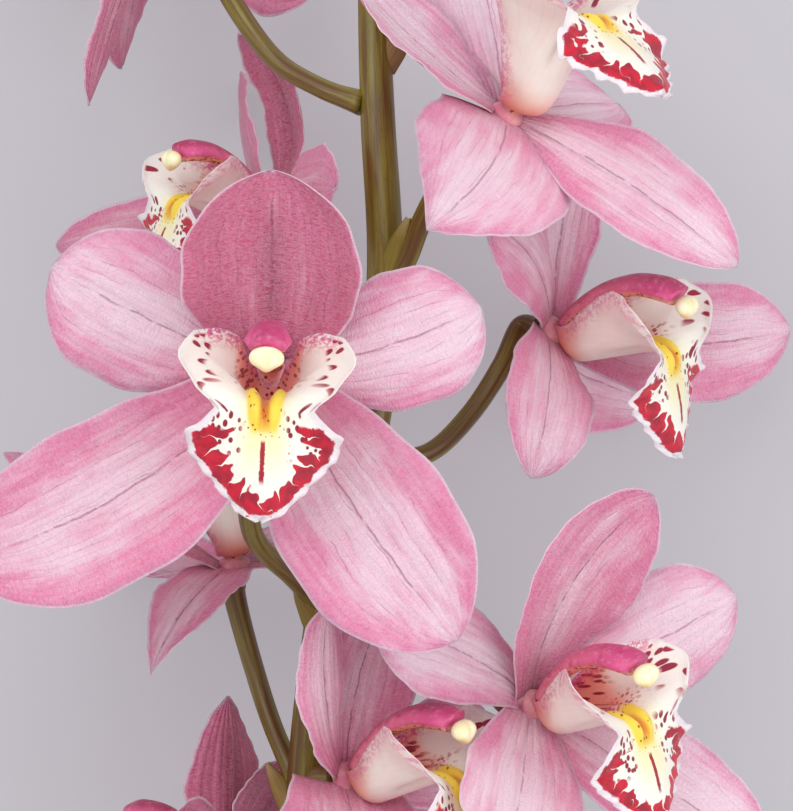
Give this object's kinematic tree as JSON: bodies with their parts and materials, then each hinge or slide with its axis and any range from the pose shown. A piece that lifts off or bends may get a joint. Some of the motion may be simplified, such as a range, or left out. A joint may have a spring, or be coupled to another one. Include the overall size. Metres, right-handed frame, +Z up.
{
  "type": "cymbidium orchid stem",
  "caption": "Cut cymbidium orchid spray lying down, pink open blooms with crimson-marked lips along an arching stem with end buds.",
  "frame": {"origin": "middle of the spray's outline seen from above, at the surface it lies on", "axes": "+Y along the spray towards its budded tip, +X to the right seen from above, +Z up"},
  "size_m": [0.2103, 0.4978, 0.1543],
  "materials": {
    "tepals": "satin",
    "lip": "satin",
    "column": "satin",
    "anther_cap": "satin",
    "stem": "satin",
    "bud": "satin"
  },
  "bodies": {
    "root": {"bloom_1_tepals": "tepals", "bloom_1_lip": "lip", "bloom_1_column": "column", "bloom_1_anther": "anther_cap", "bloom_2_tepals": "tepals", "bloom_2_lip": "lip", "bloom_2_column": "column", "bloom_2_anther": "anther_cap", "bloom_3_tepals": "tepals", "bloom_3_lip": "lip", "bloom_3_column": "column", "bloom_3_anther": "anther_cap", "bloom_4_tepals": "tepals", "bloom_4_lip": "lip", "bloom_4_column": "column", "bloom_4_anther": "anther_cap", "bloom_5_tepals": "tepals", "bloom_5_lip": "lip", "bloom_5_column": "column", "bloom_5_anther": "anther_cap", "bloom_6_tepals": "tepals", "bloom_6_lip": "lip", "bloom_6_column": "column", "bloom_6_anther": "anther_cap", "bloom_7_tepals": "tepals", "bloom_7_lip": "lip", "bloom_7_column": "column", "bloom_7_anther": "anther_cap", "bloom_8_tepals": "tepals", "bloom_8_lip": "lip", "bloom_8_column": "column", "bloom_8_anther": "anther_cap", "bloom_9_tepals": "tepals", "bloom_9_lip": "lip", "bloom_9_column": "column", "bloom_9_anther": "anther_cap", "stem": "stem", "bud_1": "bud", "bud_2": "bud", "bud_3": "bud"}
  },
  "joints": []
}
